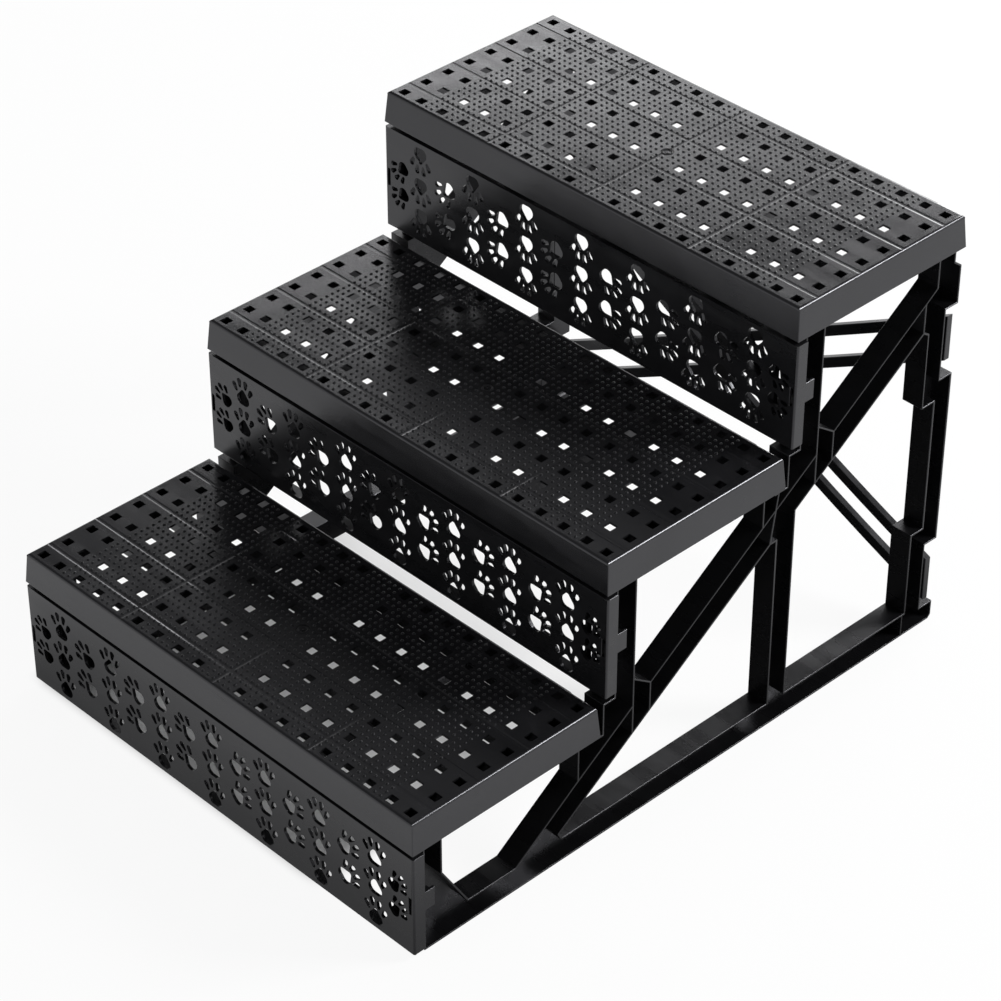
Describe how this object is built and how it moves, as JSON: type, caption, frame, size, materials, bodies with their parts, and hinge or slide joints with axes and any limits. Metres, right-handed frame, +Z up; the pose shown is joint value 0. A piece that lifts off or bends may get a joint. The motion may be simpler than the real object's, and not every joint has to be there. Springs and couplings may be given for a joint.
{
  "type": "pet stairs",
  "caption": "Moulded pet stairs: perforated treads over risers pierced with paw shapes, on open side frames with crossed rear struts.",
  "frame": {"origin": "middle of the footprint, on the floor", "axes": "+Z up, +Y towards the back and the highest tread, +X to the right as seen from the front"},
  "size_m": [0.345, 0.449, 0.3],
  "materials": {
    "tread_plastic": "semi-gloss black polypropylene with a fine grip texture",
    "riser_plastic": "semi-gloss black polypropylene",
    "frame_plastic": "semi-gloss black polypropylene"
  },
  "bodies": {
    "root": {"tread_bottom": "tread_plastic", "tread_middle": "tread_plastic", "tread_top": "tread_plastic", "riser_bottom": "riser_plastic", "riser_middle": "riser_plastic", "riser_top": "riser_plastic", "side_frame_left": "frame_plastic", "side_frame_right": "frame_plastic", "rear_strut_front": "frame_plastic", "rear_strut_back": "frame_plastic"}
  },
  "joints": []
}
